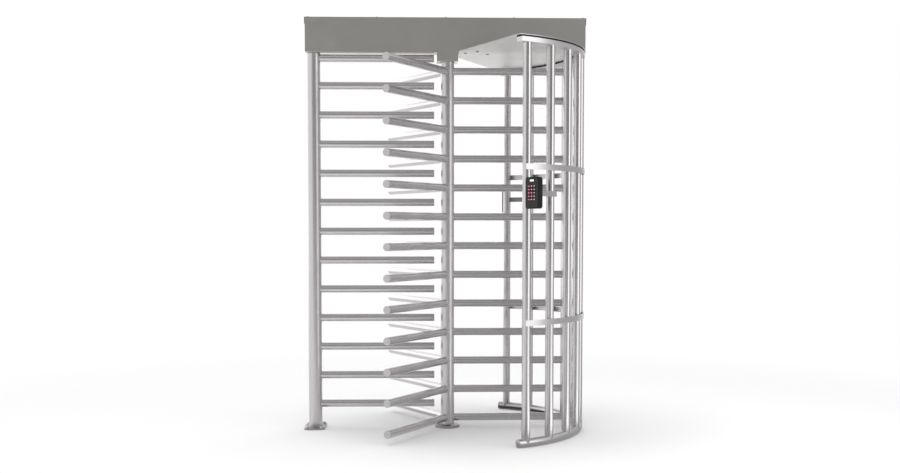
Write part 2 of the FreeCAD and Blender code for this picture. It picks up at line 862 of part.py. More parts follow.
def bridge_pillars():
    reach_x = bridge_length / 2 - pillar_edge
    reach_y = plate_half_depth - pillar_edge
    return [upright(pillar_diameter / 2, plate_top, bridge_foot, x, y)
            for x in (-reach_x, reach_x) for y in (-reach_y, reach_y)]


def lock_pawl():
    """A lever whose nose stands clear of the notch at +X until it is pushed in.

    The nose sits off centre at rest, so that it enters the notch along its middle.
    """
    throw = math.radians(pawl_throw_angle)
    nose_x = lock_wheel_radius + pawl_nose_gap
    nose_y = -(pawl_pivot_y * (1 - math.cos(throw)) + (pawl_pivot_x - nose_x) * math.sin(throw))
    low_y = nose_y - pawl_nose_width / 2
    high_y = nose_y + pawl_nose_width / 2
    lever_x = nose_x + pawl_nose_length
    outline = [(nose_x, low_y), (pawl_back_x(), low_y), (pawl_back_x(), pawl_pivot_y),
               (lever_x, pawl_pivot_y), (lever_x, high_y), (nose_x, high_y)]
    lever = polygon_prism(outline, lock_wheel_foot, lock_wheel_top)
    boss = upright(pawl_boss_diameter / 2, lock_wheel_foot, lock_wheel_top,
                   pawl_pivot_x, pawl_pivot_y)
    pawl = boss.fuse(lever).removeSplitter()
    bore = pawl_pin_diameter / 2 + running_clearance
    return pawl.cut(upright(bore, lock_wheel_foot, lock_wheel_top, pawl_pivot_x, pawl_pivot_y))


def pawl_post():
    """A shouldered post that carries the pawl on its pin."""
    shoulder = upright(pawl_boss_diameter / 2, plate_top, lock_wheel_foot - pawl_shim,
                       pawl_pivot_x, pawl_pivot_y)
    pin = upright(pawl_pin_diameter / 2, lock_wheel_foot - pawl_shim, lock_wheel_top + pawl_shim,
                  pawl_pivot_x, pawl_pivot_y)
    head = upright(pawl_pin_head_diameter / 2, lock_wheel_top + pawl_shim,
                   lock_wheel_top + pawl_shim + pawl_pin_head_height,
                   pawl_pivot_x, pawl_pivot_y)
    return shoulder.fuse([pin, head]).removeSplitter()


def pawl_back_x():
    return lock_wheel_radius + pawl_nose_gap + pawl_nose_length + pawl_lever_width


def plunger_height():
    return (lock_wheel_foot + lock_wheel_top) / 2


def solenoid_plunger():
    radius = plunger_diameter / 2
    start = pawl_back_x() + plunger_tip_gap
    rod = round_bar(radius, (start, 0, plunger_height()), (1, 0, 0), plunger_length)
    tip = [edge for edge in rod.Edges if edge.BoundBox.XMax < start + edge_pick_margin]
    return rod.makeChamfer(plunger_tip_chamfer, tip)


def solenoid_body():
    start = pawl_back_x() + plunger_tip_gap + solenoid_gap
    half = solenoid_width / 2
    middle = plunger_height()
    body = block(start, start + solenoid_length, -half, half, middle - half, middle + half)
    long_edges = [edge for edge in body.Edges if abs(edge.BoundBox.XLength) > solenoid_length / 2]
    body = body.makeFillet(box_edge_radius, long_edges)
    bore = plunger_diameter / 2 + solenoid_bore_gap
    return body.cut(round_bar(bore, (start, 0, middle), (1, 0, 0), solenoid_bore_depth))


def solenoid_bracket():
    start = pawl_back_x() + plunger_tip_gap + solenoid_gap
    half = solenoid_width / 2
    seat = plunger_height() - half
    post = block(start + solenoid_foot, start + solenoid_length - solenoid_foot,
                 -half + solenoid_foot, half - solenoid_foot, plate_top, seat)
    foot = block(start, start + solenoid_length, -half, half, plate_top, plate_top + solenoid_foot)
    return foot.fuse(post).removeSplitter()


def equipment_box(start, length, height):
    """A closed, round-edged box that stands on the header's floor."""
    half = header_half_depth - header_wall - box_side_gap
    body = block(start, start + length, -half, half, header_floor, header_floor + height)
    upper = [edge for edge in body.Edges if edge.BoundBox.ZMin > header_floor + height / 2]
    return body.makeFillet(box_edge_radius, upper)


# Readers

def rounded_slab(width, height, corner, y0, y1):
    """A slab with round corners, upright in XZ, between two places along Y."""
    slab = block(-width / 2, width / 2, y0, y1, -height / 2, height / 2)
    corners = [edge for edge in slab.Edges if edge.BoundBox.YLength > (y1 - y0) / 2]
    return slab.makeFillet(corner, corners)


def placed_reader_piece(shape, turn):
    """Move a piece from the reader's own frame to the front end of the cage.

    In that frame X runs along the reader's width, -Y is the side that faces people, and
    the origin lies on the axis of the first cage bar, at the reader's middle height.
    """
    piece = shape.copy()
    piece.rotate(FreeCAD.Vector(0, 0, 0), FreeCAD.Vector(0, 0, 1), -turn)
    x, y = polar(cage_radius, -cage_half_angle)
    piece.translate(FreeCAD.Vector(x, y, reader_middle_height))
    return piece


def reader_middle_x():
    return cage_tube_radius + reader_bar_gap + reader_width / 2


def reader_housing():
    """A moulded case, hollowed at the front for its panel."""
    front = -(reader_forward + reader_depth / 2)
    back = -(reader_forward - reader_depth / 2)
    case = rounded_slab(reader_width, reader_height, reader_corner, front, back)
    face_edges = [edge for edge in case.Edges if edge.BoundBox.YMax < front + edge_pick_margin]
    case = case.makeFillet(reader_edge, face_edges)
    panel_width = reader_width - 2 * reader_panel_margin
    panel_height = reader_height - 2 * reader_panel_margin
    recess = rounded_slab(panel_width, panel_height, reader_panel_corner,
                          front, front + reader_panel_thickness)
    case = case.cut(recess)
    case.translate(FreeCAD.Vector(reader_middle_x(), 0, 0))
    return case


def window_block(y0, y1):
    middle = reader_height / 2 - reader_window_drop
    window = block(-reader_window_width / 2, reader_window_width / 2, y0, y1,
                   middle - reader_window_height / 2, middle + reader_window_height / 2)
    corners = [edge for edge in window.Edges if edge.BoundBox.YLength > (y1 - y0) / 2]
    return window.makeFillet(reader_window_corner, corners)


def reader_panel():
    front = -(reader_forward + reader_depth / 2)
    panel = rounded_slab(reader_width - 2 * reader_panel_margin,
                         reader_height - 2 * reader_panel_margin,
                         reader_panel_corner, front, front + reader_panel_thickness)
    panel = panel.cut(window_block(front, front + reader_panel_thickness))
    panel.translate(FreeCAD.Vector(reader_middle_x(), 0, 0))
    return panel


def reader_window():
    front = -(reader_forward + reader_depth / 2)
    window = window_block(front, front + reader_panel_thickness)
    window.translate(FreeCAD.Vector(reader_middle_x(), 0, 0))
    return window


def reader_bracket(turn):
    """A strip bent round the outside of the first two bars, with a tab behind the reader."""
    half = reader_strip_height / 2
    bar_step = 2 * cage_half_angle / (cage_bar_count - 1)
    strip = curved_strip(band_inside, band_inside + reader_strip_thickness,
                         reader_middle_height - half, reader_middle_height + half,
                         -cage_half_angle - bar_step / 4,
                         -cage_half_angle + bar_step + band_reach_angle)
    back = -(reader_forward - reader_depth / 2)
    in_front = block(-reader_width, reader_width, back - reader_height, back, -half, half)
    strip = strip.cut(placed_reader_piece(in_front, turn))
    tab_start = cage_tube_radius + skin_gap
    tab = block(tab_start, tab_start + reader_tab_reach, back, back + reader_strip_thickness,
                -half, half)
    return strip.fuse(placed_reader_piece(tab, turn)).removeSplitter()


def main():
    os.makedirs("parts", exist_ok=True)

    save("rotor_base_disc", rotor_base_disc())
    save("floor_pivot_pin", floor_pivot_pin())
    save("lower_bush", lower_bush())

    save("rotor_column", rotor_column())
    save("column_bottom_plug", column_bottom_plug())
    save("column_top_plug", column_top_plug())
    arms = [wing_arm(height) for height in arm_heights()]
    for name, angle in zip(wing_names, wing_angles):
        save(name, *[turned(arm, angle) for arm in arms])
    caps = [arm_cap(height) for height in arm_heights()]
    save("arm_end_caps", *[turned(cap, angle) for angle in wing_angles for cap in caps])

    save("post_base_plate", post_base_plate())
    save("comb_post", comb_post())
    save("post_gasket", post_gasket())
    save("post_top_plug", post_top_plug())
    save("post_screws", *[post_screw(x, y) for x, y in post_screw_places()])
    save("comb_bars", *[comb_bar(height) for height in comb_heights()])
    save("comb_end_caps", *[comb_cap(height) for height in comb_heights()])

    save("bottom_rail", bottom_rail())
    front_cap = rail_end_cap()
    save("rail_end_caps", front_cap, mirrored_in_y(front_cap))
    save("cage_bars", *[cage_bar(angle) for angle in cage_angles()])
    save("top_rail", top_rail())
    save("upper_band", outer_band(upper_band_height))
    save("lower_band", outer_band(lower_band_height))

    save("canopy_seal", canopy_seal())
    save("canopy_plate", canopy_plate())
    save("canopy_angle", canopy_angle())
    save("canopy_screws", *[canopy_screw(x, y) for x, y in canopy_screw_places()])

    save("header_housing", header_housing())
    save("header_lid", header_lid())
    save("lid_screws", *[lid_screw(x, y) for x, y in lid_screw_places()])
    save("bearing_box", bearing_box())

    save("mechanism_plate", mechanism_plate())
    save("bearing_housing", bearing_housing())
    save("bearing_outer_ring", bearing_outer_ring())
    save("bearing_inner_ring", bearing_inner_ring())
    save("bearing_cover", bearing_cover())
    save("rotor_spindle", rotor_spindle())
    save("drive_key", drive_key())
    save("spindle_spacer", spindle_spacer())
    save("lock_wheel", lock_wheel())
    save("drive_gear", drive_gear())
    save("spindle_nut", spindle_nut())
    save("damper_pinion", damper_pinion())
    save("damper_body", damper_body())
    save("bridge_plate", bridge_plate())
    save("bridge_pillars", *bridge_pillars())

    for side, place in (("entry", lambda shape: shape), ("exit", mirrored_in_x)):
        save(side + "_pawl", place(lock_pawl()))
        save(side + "_plunger", place(solenoid_plunger()))
    save("solenoids", solenoid_body(), mirrored_in_x(solenoid_body()))
    save("pawl_posts", pawl_post(), mirrored_in_x(pawl_post()))
    save("solenoid_brackets", solenoid_bracket(), mirrored_in_x(solenoid_bracket()))
    control_start = header_left + control_box_end_gap
    save("control_box", equipment_box(control_start, control_box_length, control_box_height))
    power_start = header_right - power_box_end_gap - power_box_length
    save("power_supply", equipment_box(power_start, power_box_length, power_box_height))

    rear_of = mirrored_in_y
    save("front_reader_housing", placed_reader_piece(reader_housing(), reader_front_angle))
    save("rear_reader_housing", rear_of(placed_reader_piece(reader_housing(), reader_rear_angle)))
    save("reader_panels", placed_reader_piece(reader_panel(), reader_front_angle),
         rear_of(placed_reader_piece(reader_panel(), reader_rear_angle)))
    save("reader_windows", placed_reader_piece(reader_window(), reader_front_angle),
         rear_of(placed_reader_piece(reader_window(), reader_rear_angle)))
    save("reader_brackets", reader_bracket(reader_front_angle),
         rear_of(reader_bracket(reader_rear_angle)))



main()
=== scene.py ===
import json
import math

import bmesh
import bpy
from mathutils import Matrix, Vector


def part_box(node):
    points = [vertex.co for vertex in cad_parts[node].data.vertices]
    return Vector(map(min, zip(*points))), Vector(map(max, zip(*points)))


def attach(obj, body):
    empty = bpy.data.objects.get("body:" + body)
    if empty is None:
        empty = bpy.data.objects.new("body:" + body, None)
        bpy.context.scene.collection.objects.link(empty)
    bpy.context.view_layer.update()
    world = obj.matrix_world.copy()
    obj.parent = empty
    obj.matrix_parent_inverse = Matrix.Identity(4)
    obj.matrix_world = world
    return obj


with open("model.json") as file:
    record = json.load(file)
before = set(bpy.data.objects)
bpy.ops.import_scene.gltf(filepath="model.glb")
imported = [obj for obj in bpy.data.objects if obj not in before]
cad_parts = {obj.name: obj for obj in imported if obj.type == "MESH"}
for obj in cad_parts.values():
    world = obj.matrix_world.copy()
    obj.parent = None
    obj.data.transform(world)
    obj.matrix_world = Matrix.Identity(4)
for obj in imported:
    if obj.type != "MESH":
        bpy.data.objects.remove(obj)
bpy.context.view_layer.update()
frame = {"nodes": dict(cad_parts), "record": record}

# Camera, solved from the photograph, in pixels, metres and degrees
PHOTO_WIDTH = 900
PHOTO_HEIGHT = 473
FOCAL_PIXELS = 1146.4
PRINCIPAL_X = 450.9
PRINCIPAL_Y = 295.5
CAMERA_PLACE = (-0.1807, -6.5024, 1.1264)
CAMERA_YAW = 1.77
CAMERA_PITCH = 3.30
SENSOR_MILLIMETRES = 36.0
FAR_CLIP = 200.0

# Counts, angles in degrees and hole patterns in metres, which the boxes of the frame don't give
ARM_COUNT = 13
WING_ANGLES = {"wing_right": 0.0, "wing_rear_left": 120.0, "wing_front_left": 240.0}
CAGE_BAR_COUNT = 10
CAGE_HALF_ANGLE = 58.45
PLATE_BOLT_SPACING = (0.084, 0.156)
DISC_BOLT_CIRCLE = 0.110
DISC_BOLT_COUNT = 3
DISC_BOLT_FIRST_ANGLE = 60.0

# Sizes read from the frame, in metres
WING_LOW, WING_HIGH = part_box("wing_right")
ARM_RADIUS = WING_HIGH.y
LOWEST_ARM = WING_LOW.z + ARM_RADIUS
HIGHEST_ARM = WING_HIGH.z - ARM_RADIUS
ARM_PITCH = (HIGHEST_ARM - LOWEST_ARM) / (ARM_COUNT - 1)
COLUMN_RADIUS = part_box("rotor_column")[1].x

POST_LOW, POST_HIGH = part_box("comb_post")
POST_X = (POST_LOW.x + POST_HIGH.x) / 2
POST_RADIUS = (POST_HIGH.x - POST_LOW.x) / 2
COMB_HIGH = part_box("comb_bars")[1]
COMB_RADIUS = COMB_HIGH.y
HIGHEST_COMB_BAR = COMB_HIGH.z - COMB_RADIUS

RAIL_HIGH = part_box("bottom_rail")[1]
RAIL_RADIUS = RAIL_HIGH.z / 2
CAGE_RADIUS = RAIL_HIGH.x - RAIL_RADIUS
TOP_RAIL_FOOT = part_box("top_rail")[0].z

PLATE_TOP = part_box("post_base_plate")[1].z
DISC_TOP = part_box("rotor_base_disc")[1].z


# Materials

WHITE = (1.0, 1.0, 1.0)
DOWNWARD_NORMAL_Z = -0.9


def shade(colour, factor):
    return tuple(channel * factor for channel in colour)


def shades(colour, first, last):
    """The two ends of a drift in tone."""
    return shade(colour, first), shade(colour, last)


def grey(level):
    return (level, level, level)


class Surface:
    """A material with one Principled shader, and short calls that add procedural nodes to it."""

    def __init__(self, name, roughness=0.5, metallic=0.0):
        self.material = bpy.data.materials.new(name)
        self.material.use_nodes = True
        self.nodes = self.material.node_tree.nodes
        self.links = self.material.node_tree.links
        self.shader = self.nodes["Principled BSDF"]
        self.set("Roughness", roughness)
        self.set("Metallic", metallic)

    def set(self, name, value):
        """A value that is the same all over the surface."""
        self.shader.inputs[name].default_value = value

    def feed(self, name, output):
        """A value that varies over the surface."""
        self.links.new(output, self.shader.inputs[name])

    def add(self, kind, **settings):
        node = self.nodes.new(kind)
        for name, value in settings.items():
            setattr(node, name, value)
        return node

    def place(self, turn=0.0, stretch=(1.0, 1.0, 1.0)):
        """Object coordinates turned about Z, then scaled along each axis."""
        coordinates = self.add("ShaderNodeTexCoord")
        turned = self.add("ShaderNodeMapping", vector_type="POINT")
        turned.inputs["Rotation"].default_value = (0.0, 0.0, -math.radians(turn))
        scaled = self.add("ShaderNodeMapping", vector_type="POINT")
        scaled.inputs["Scale"].default_value = stretch
        self.links.new(coordinates.outputs["Object"], turned.inputs["Vector"])
        self.links.new(turned.outputs["Vector"], scaled.inputs["Vector"])
        return scaled.outputs["Vector"]

    def noise(self, vector, scale, detail=4.0, roughness=0.55):
        node = self.add("ShaderNodeTexNoise")
        node.inputs["Scale"].default_value = scale
        node.inputs["Detail"].default_value = detail
        node.inputs["Roughness"].default_value = roughness
        self.links.new(vector, node.inputs["Vector"])
        return node.outputs["Fac"]

    def cells(self, vector, scale):
        node = self.add("ShaderNodeTexVoronoi")
        node.inputs["Scale"].default_value = scale
        self.links.new(vector, node.inputs["Vector"])
        return node.outputs["Color"]

    def rings(self, vector, scale, distortion):
        node = self.add("ShaderNodeTexWave", wave_type="RINGS", rings_direction="Z")
        node.inputs["Scale"].default_value = scale
        node.inputs["Distortion"].default_value = distortion
        self.links.new(vector, node.inputs["Vector"])
        return node.outputs["Fac"]

    def ramp(self, factor, span, ends):
        """The first end below the span, the last above it, and a smooth change between."""
        node = self.add("ShaderNodeValToRGB")
        node.color_ramp.interpolation = "EASE"
        for stop, position, end in zip(node.color_ramp.elements, span, ends):
            colour = grey(end) if isinstance(end, float) else end
            stop.position = position
            stop.color = (*colour, 1.0)
        self.links.new(factor, node.inputs["Fac"])
        return node.outputs["Color"]

    def mix(self, factor, first, second, blend="MIX"):
        node = self.add("ShaderNodeMix", data_type="RGBA", blend_type=blend)
        if isinstance(factor, float):
            node.inputs["Factor"].default_value = factor
        else:
            self.links.new(factor, node.inputs["Factor"])
        self.links.new(first, node.inputs["A"])
        self.links.new(second, node.inputs["B"])
        return node.outputs["Result"]

    def facing_down(self):
        """1 on faces that look at the floor, 0 elsewhere."""
        geometry = self.add("ShaderNodeNewGeometry")
        parts = self.add("ShaderNodeSeparateXYZ")
        below = self.add("ShaderNodeMath", operation="LESS_THAN")
        below.inputs[1].default_value = DOWNWARD_NORMAL_Z
        self.links.new(geometry.outputs["True Normal"], parts.inputs["Vector"])
        self.links.new(parts.outputs["Z"], below.inputs[0])
        return below.outputs["Value"]

    def bump(self, height, strength, distance):
        node = self.add("ShaderNodeBump")
        node.inputs["Strength"].default_value = strength
        node.inputs["Distance"].default_value = distance
        self.links.new(height, node.inputs["Height"])
        self.feed("Normal", node.outputs["Normal"])


def satin_steel(name, colour, along="X", turn=0.0, roughness=0.22, painted_light_underside=False):
    """Belt-ground stainless steel: fine lines along the tube, handling marks and a little haze.

    Where asked, faces that look down get a paler tone and a rougher finish: a painted reflection of
    the bright floor below them.
    """
    surface = Surface(name, metallic=1.0)
    lines_per_metre = 900.0
    line_breaks_per_metre = 14.0
    stretch = tuple(line_breaks_per_metre if axis == along else lines_per_metre for axis in "XYZ")
    lines = surface.noise(surface.place(turn, stretch), scale=1.0, detail=3.0)
    haze = surface.noise(surface.place(), scale=2.4, detail=3.0)
    marks = surface.noise(surface.place(turn), scale=9.0, detail=5.0, roughness=0.6)
    tone = surface.ramp(haze, (0.30, 0.72), shades(colour, 0.965, 1.03))
    streak = surface.ramp(lines, (0.25, 0.75), (0.95, 1.0))
    ground = surface.mix(1.0, tone, streak, "MULTIPLY")
    fine = surface.ramp(lines, (0.2, 0.8), (roughness - 0.03, roughness + 0.02))
    smear = surface.ramp(marks, (0.52, 0.76), (0.0, 0.05))
    dulled = surface.mix(1.0, fine, smear, "ADD")
    # Painted reflection: faces that look down are painted paler, standing in for the bright floor they
    # reflect
    if painted_light_underside:
        below = surface.facing_down()
        pale = surface.ramp(haze, (0.30, 0.72), shades(colour, 1.44, 1.52))
        matt = surface.ramp(marks, (0.4, 0.7), (0.44, 0.52))
        ground = surface.mix(below, ground, pale)
        dulled = surface.mix(below, dulled, matt)
    surface.feed("Base Color", ground)
    surface.feed("Roughness", dulled)
    surface.bump(lines, strength=0.05, distance=0.0002)
    return surface.material


def powder_coat(name, colour, roughness=0.42):
    """Satin powder coat: fine orange peel, slight tone drift, a thin dusting and faint rubs."""
    surface = Surface(name)
    drift = surface.noise(surface.place(), scale=1.6, detail=3.0)
    settled = surface.place(stretch=(1.0, 1.0, 0.35))
    dust = surface.noise(settled, scale=17.0, detail=7.0, roughness=0.7)
    peel = surface.noise(surface.place(), scale=620.0, detail=2.0)
    tone = surface.ramp(drift, (0.32, 0.70), shades(colour, 0.965, 1.03))
    dusting = surface.ramp(dust, (0.45, 0.80), (WHITE, (1.05, 1.05, 1.06)))
    surface.feed("Base Color", surface.mix(1.0, tone, dusting, "MULTIPLY"))
    surface.feed("Roughness", surface.ramp(dust, (0.3, 0.75), (roughness - 0.05, roughness + 0.07)))
    surface.bump(peel, strength=0.25, distance=0.0003)
    return surface.material


def zinc(name, colour, cell_scale=160.0):
    """Bright zinc: small crystal cells of slightly different tone, with dull patches."""
    surface = Surface(name, metallic=1.0)
    crystals = surface.cells(surface.place(), cell_scale)
    patches = surface.noise(surface.place(), scale=40.0, detail=5.0)
    tone = surface.ramp(patches, (0.35, 0.7), shades(colour, 0.9, 1.04))
    grains = surface.ramp(crystals, (0.1, 0.9), (0.88, 1.0))
    surface.feed("Base Color", surface.mix(1.0, tone, grains, "MULTIPLY"))
    surface.feed("Roughness", surface.ramp(patches, (0.3, 0.7), (0.26, 0.44)))
    surface.bump(patches, strength=0.1, distance=0.0004)
    return surface.material


def machined(name, colour, roughness=0.24):
    """Turned and ground metal: fine tool rings about the turning axis and a thin oil film."""
    surface = Surface(name, metallic=1.0)
    turning = surface.rings(surface.place(), scale=520.0, distortion=0.6)
    oil = surface.noise(surface.place(), scale=22.0, detail=5.0)
    tone = surface.ramp(oil, (0.35, 0.72), shades(colour, 0.86, 1.04))
    tool = surface.ramp(turning, (0.0, 1.0), (0.93, 1.0))
    surface.feed("Base Color", surface.mix(1.0, tone, tool, "MULTIPLY"))
    surface.feed("Roughness", surface.ramp(oil, (0.3, 0.7), (roughness - 0.05, roughness + 0.1)))
    surface.bump(turning, strength=0.12, distance=0.0003)
    return surface.material


def casting(name, colour):
    """Painted casting: sand-cast pebbling under thick enamel."""
    surface = Surface(name)
    pebbles = surface.noise(surface.place(), scale=260.0, detail=5.0, roughness=0.65)
    drift = surface.noise(surface.place(), scale=14.0)
    surface.feed("Base Color", surface.ramp(drift, (0.3, 0.7), shades(colour, 0.88, 1.1)))
    surface.feed("Roughness", surface.ramp(pebbles, (0.3, 0.7), (0.42, 0.6)))
    surface.bump(pebbles, strength=0.5, distance=0.0008)
    return surface.material


def moulded_plastic(name, colour, roughness=0.5, grain=1400.0, specular=0.5):
    """Moulded plastic: spark-eroded grain with a faint tone drift and rubbed spots."""
    surface = Surface(name)
    surface.set("Specular IOR Level", specular)
    texture = surface.noise(surface.place(), grain, detail=2.0)
    drift = surface.noise(surface.place(), scale=30.0)
    surface.feed("Base Color", surface.ramp(drift, (0.3, 0.7), shades(colour, 0.88, 1.12)))
    surface.feed("Roughness", surface.ramp(drift, (0.3, 0.75), (roughness + 0.05, roughness - 0.1)))
    surface.bump(texture, strength=0.3, distance=0.0002)
    return surface.material


def rubber(name, colour, bloom_colour):
    """Rubber: fine skin, greyed where it has bloomed."""
    surface = Surface(name)
    surface.set("Specular IOR Level", 0.2)
    skin = surface.noise(surface.place(), scale=900.0, detail=3.0)
    bloom = surface.noise(surface.place(), scale=45.0, detail=5.0)
    surface.feed("Base Color", surface.ramp(bloom, (0.4, 0.75), (colour, bloom_colour)))
    surface.feed("Roughness", surface.ramp(bloom, (0.3, 0.7), (0.55, 0.8)))
    surface.bump(skin, strength=0.35, distance=0.0003)
    return surface.material


def smooth_face(name, colour, roughness=0.20):
    """Tinted panel: hairline wipe marks and a soft finger haze."""
    surface = Surface(name)
    surface.set("Specular IOR Level", 0.32)
    wipes = surface.noise(surface.place(stretch=(1.0, 1.0, 9.0)), scale=120.0)
    haze = surface.noise(surface.place(), scale=48.0, detail=5.0)
    surface.feed("Base Color", surface.ramp(haze, (0.35, 0.75), shades(colour, 0.85, 1.2)))
    surface.feed("Roughness", surface.ramp(wipes, (0.35, 0.75), (roughness, roughness + 0.14)))
    return surface.material


def lit_diffuser(name, colour, strength):
    """Backlit translucent plastic: brighter over its lamps, dimmer between them."""
    surface = Surface(name, roughness=0.3)
    lamps = surface.noise(surface.place(), scale=70.0, detail=2.0)
    tone = surface.ramp(lamps, (0.3, 0.7), shades(colour, 0.86, 1.0))
    surface.feed("Base Color", tone)
    surface.feed("Emission Color", tone)
    surface.set("Emission Strength", strength)
    return surface.material


def weld_metal(name, colour):
    """Weld seam: overlapping ripples and a brushed, slightly tinted skin."""
    surface = Surface(name, metallic=1.0)
    ripples = surface.noise(surface.place(), scale=520.0, detail=3.0)
    tint = surface.noise(surface.place(), scale=90.0)
    warm = (colour[0] * 0.95, colour[1] * 0.90, colour[2] * 0.84)
    surface.feed("Base Color", surface.ramp(tint, (0.4, 0.75), (colour, warm)))
    surface.feed("Roughness", surface.ramp(tint, (0.3, 0.7), (0.32, 0.46)))
    surface.bump(ripples, strength=0.6, distance=0.0009)
    return surface.material


STEEL = (0.586, 0.568, 0.577)
upright_steel = satin_steel("satin_steel_upright", STEEL, along="Z", roughness=0.33)
crosswise_steel = satin_steel("satin_steel_crosswise", STEEL)
cage_steel = satin_steel("satin_steel_cage", STEEL, along="Z")
rail_steel = satin_steel("satin_steel_rail", STEEL, roughness=0.30)
wing_steel = {
    wing: satin_steel("satin_steel_" + wing, STEEL, turn=angle)
    for wing, angle in WING_ANGLES.items()
}
cap_steel = satin_steel("satin_steel_caps", shade(STEEL, 0.86), along="Z", roughness=0.34)
# Painted shade: the canopy sheet and the lid take darker tones than the header steel, so that their
# tops don't clip to white under the bright cards and lamp they reflect
canopy_steel_painted_shade_and_reflection = satin_steel("satin_steel_sheet_painted_shade_and_reflection", (0.500, 0.490, 0.482), along="Y", roughness=0.32,
                           painted_light_underside=True)
lid_steel_painted_shade = satin_steel("satin_steel_lid_painted_shade", (0.51, 0.499, 0.477), roughness=0.38)
plate_steel = satin_steel("satin_steel_plate", (0.350, 0.341, 0.345), roughness=0.40)
header_steel = satin_steel("satin_steel_header", (0.578, 0.565, 0.540), roughness=0.30,
                           painted_light_underside=True)
bracket_coat = powder_coat("bracket_powder_coat", (0.27, 0.264, 0.253))
bright_zinc = zinc("bright_zinc", (0.66, 0.66, 0.66))
dull_zinc = zinc("dull_zinc", (0.30, 0.30, 0.30))
plate_zinc = zinc("zinc_plate", (0.52, 0.52, 0.50), cell_scale=60.0)
turned_steel = machined("machined_steel", (0.46, 0.46, 0.47))
turned_bronze = machined("turned_bronze", (0.48, 0.31, 0.14))
housing_casting = casting("cast_housing", (0.075, 0.080, 0.086))
black_rubber = rubber("black_rubber", (0.007, 0.007, 0.0075), (0.020, 0.020, 0.021))
case_plastic = moulded_plastic("reader_case_plastic", (0.006, 0.006, 0.0055), roughness=0.46,
                               specular=0.16)
reader_face = smooth_face("reader_face_panel", (0.016, 0.014, 0.011))
reader_lens = lit_diffuser("reader_window_diffuser", (0.95, 0.96, 0.97), strength=0.55)
box_plastic = moulded_plastic("enclosure_plastic", (0.27, 0.28, 0.28), grain=900.0)
damper_enamel = casting("damper_enamel", (0.012, 0.012, 0.013))
coil_lacquer = moulded_plastic("solenoid_lacquer", (0.016, 0.024, 0.060), roughness=0.3, grain=500.0)
seam_weld = weld_metal("weld_seam", STEEL)

SLOT_FINISH = {
    "rotor_tube": upright_steel,
    "comb_tube": crosswise_steel,
    "cage_tube": cage_steel,
    "canopy_sheet": canopy_steel_painted_shade_and_reflection,
    "header_sheet": header_steel,
    "base_metal": plate_steel,
    "black_rubber": black_rubber,
    "zinc_fastener": bright_zinc,
    "reader_case": case_plastic,
    "reader_face": reader_face,
    "reader_lens": reader_lens,
    "bracket_steel": bracket_coat,
    "zinc_plate": plate_zinc,
    "machined_steel": turned_steel,
    "cast_housing": housing_casting,
    "bronze": turned_bronze,
    "damper_case": damper_enamel,
    "solenoid_case": coil_lacquer,
    "box_plastic": box_plastic,
}
NODE_FINISH = {
    "comb_post": upright_steel,
    "header_lid": lid_steel_painted_shade,
    "canopy_screws": dull_zinc,
    "arm_end_caps": cap_steel,
    "comb_end_caps": cap_steel,
    "bottom_rail": rail_steel,
    "top_rail": rail_steel,
    "upper_band": rail_steel,
    "lower_band": rail_steel,
    "rail_end_caps": cap_steel,
    **wing_steel,
}


def find_subparts(entry):
    """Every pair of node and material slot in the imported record, wherever it lies."""
    if isinstance(entry, dict):
        if "node" in entry and "material_slot" in entry:
            yield entry["node"], entry["material_slot"]
        for value in entry.values():
            yield from find_subparts(value)
    elif isinstance(entry, list):
        for value in entry:
            yield from find_subparts(value)


node_slot = dict(find_subparts(frame["record"]))
for node_name, node_object in frame["nodes"].items():
    finish = NODE_FINISH.get(node_name) or SLOT_FINISH[node_slot[node_name]]
    if not node_object.material_slots:
        node_object.data.materials.append(finish)
    for material_slot in node_object.material_slots:
        material_slot.material = finish


# Helpers for the added pieces

SMOOTH_BELOW_DEGREES = 40.0


def mesh_piece(name, build, material, body):
    """A piece whose mesh build(content) makes, smooth but for its sharp edges."""
    mesh = bpy.data.meshes.new(name)
    content = bmesh.new()
    build(content)
    bmesh.ops.recalc_face_normals(content, faces=content.faces)
    limit = math.radians(SMOOTH_BELOW_DEGREES)
    for face in content.faces:
        face.smooth = True
    for edge in content.edges:
        edge.smooth = len(edge.link_faces) == 2 and edge.calc_face_angle(0.0) < limit
    content.to_mesh(mesh)
    content.free()
    mesh.materials.append(material)
    piece = bpy.data.objects.new(name, mesh)
    bpy.context.scene.collection.objects.link(piece)
    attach(piece, body)


def circle_point(centre, radius, angle):
    """A point of a level circle, at an angle in radians."""
    x, y, z = centre
    return (x + radius * math.cos(angle), y + radius * math.sin(angle), z)


def full_turn(steps):
    """Evenly spaced angles round a circle, in radians."""
    return [2 * math.pi * step / steps for step in range(steps)]


def ring(content, centre, radius, height, angles):
    """New points of a level circle at that height over centre."""
    x, y, z = centre
    return [content.verts.new(circle_point((x, y, z + height), radius, angle)) for angle in angles]


def bridge(content, lower, upper):
    """Side faces between two closed rows with the same number of points."""
    for step in range(len(lower)):
        following = (step + 1) % len(lower)
        content.faces.new((lower[step], lower[following], upper[following], upper[step]))


# Floor bolts, sizes in metres

HEAD_SIDES = 6
HEAD_TURN = 11.0
HEAD_CORNER_HEIGHT = 0.82
CROWN_RADIUS = 0.47
CROWN_STEPS_PER_SIDE = 4
WASHER_STEPS = 40
WASHER_EDGE_HEIGHT = 0.8
WASHER_FACE_RADIUS = 0.97
POST_BOLT = {"across_flats": 0.019, "head": 0.0075, "washer_radius": 0.012, "washer": 0.0025}
DISC_BOLT = {"across_flats": 0.016, "head": 0.0065, "washer_radius": 0.0095, "washer": 0.002}


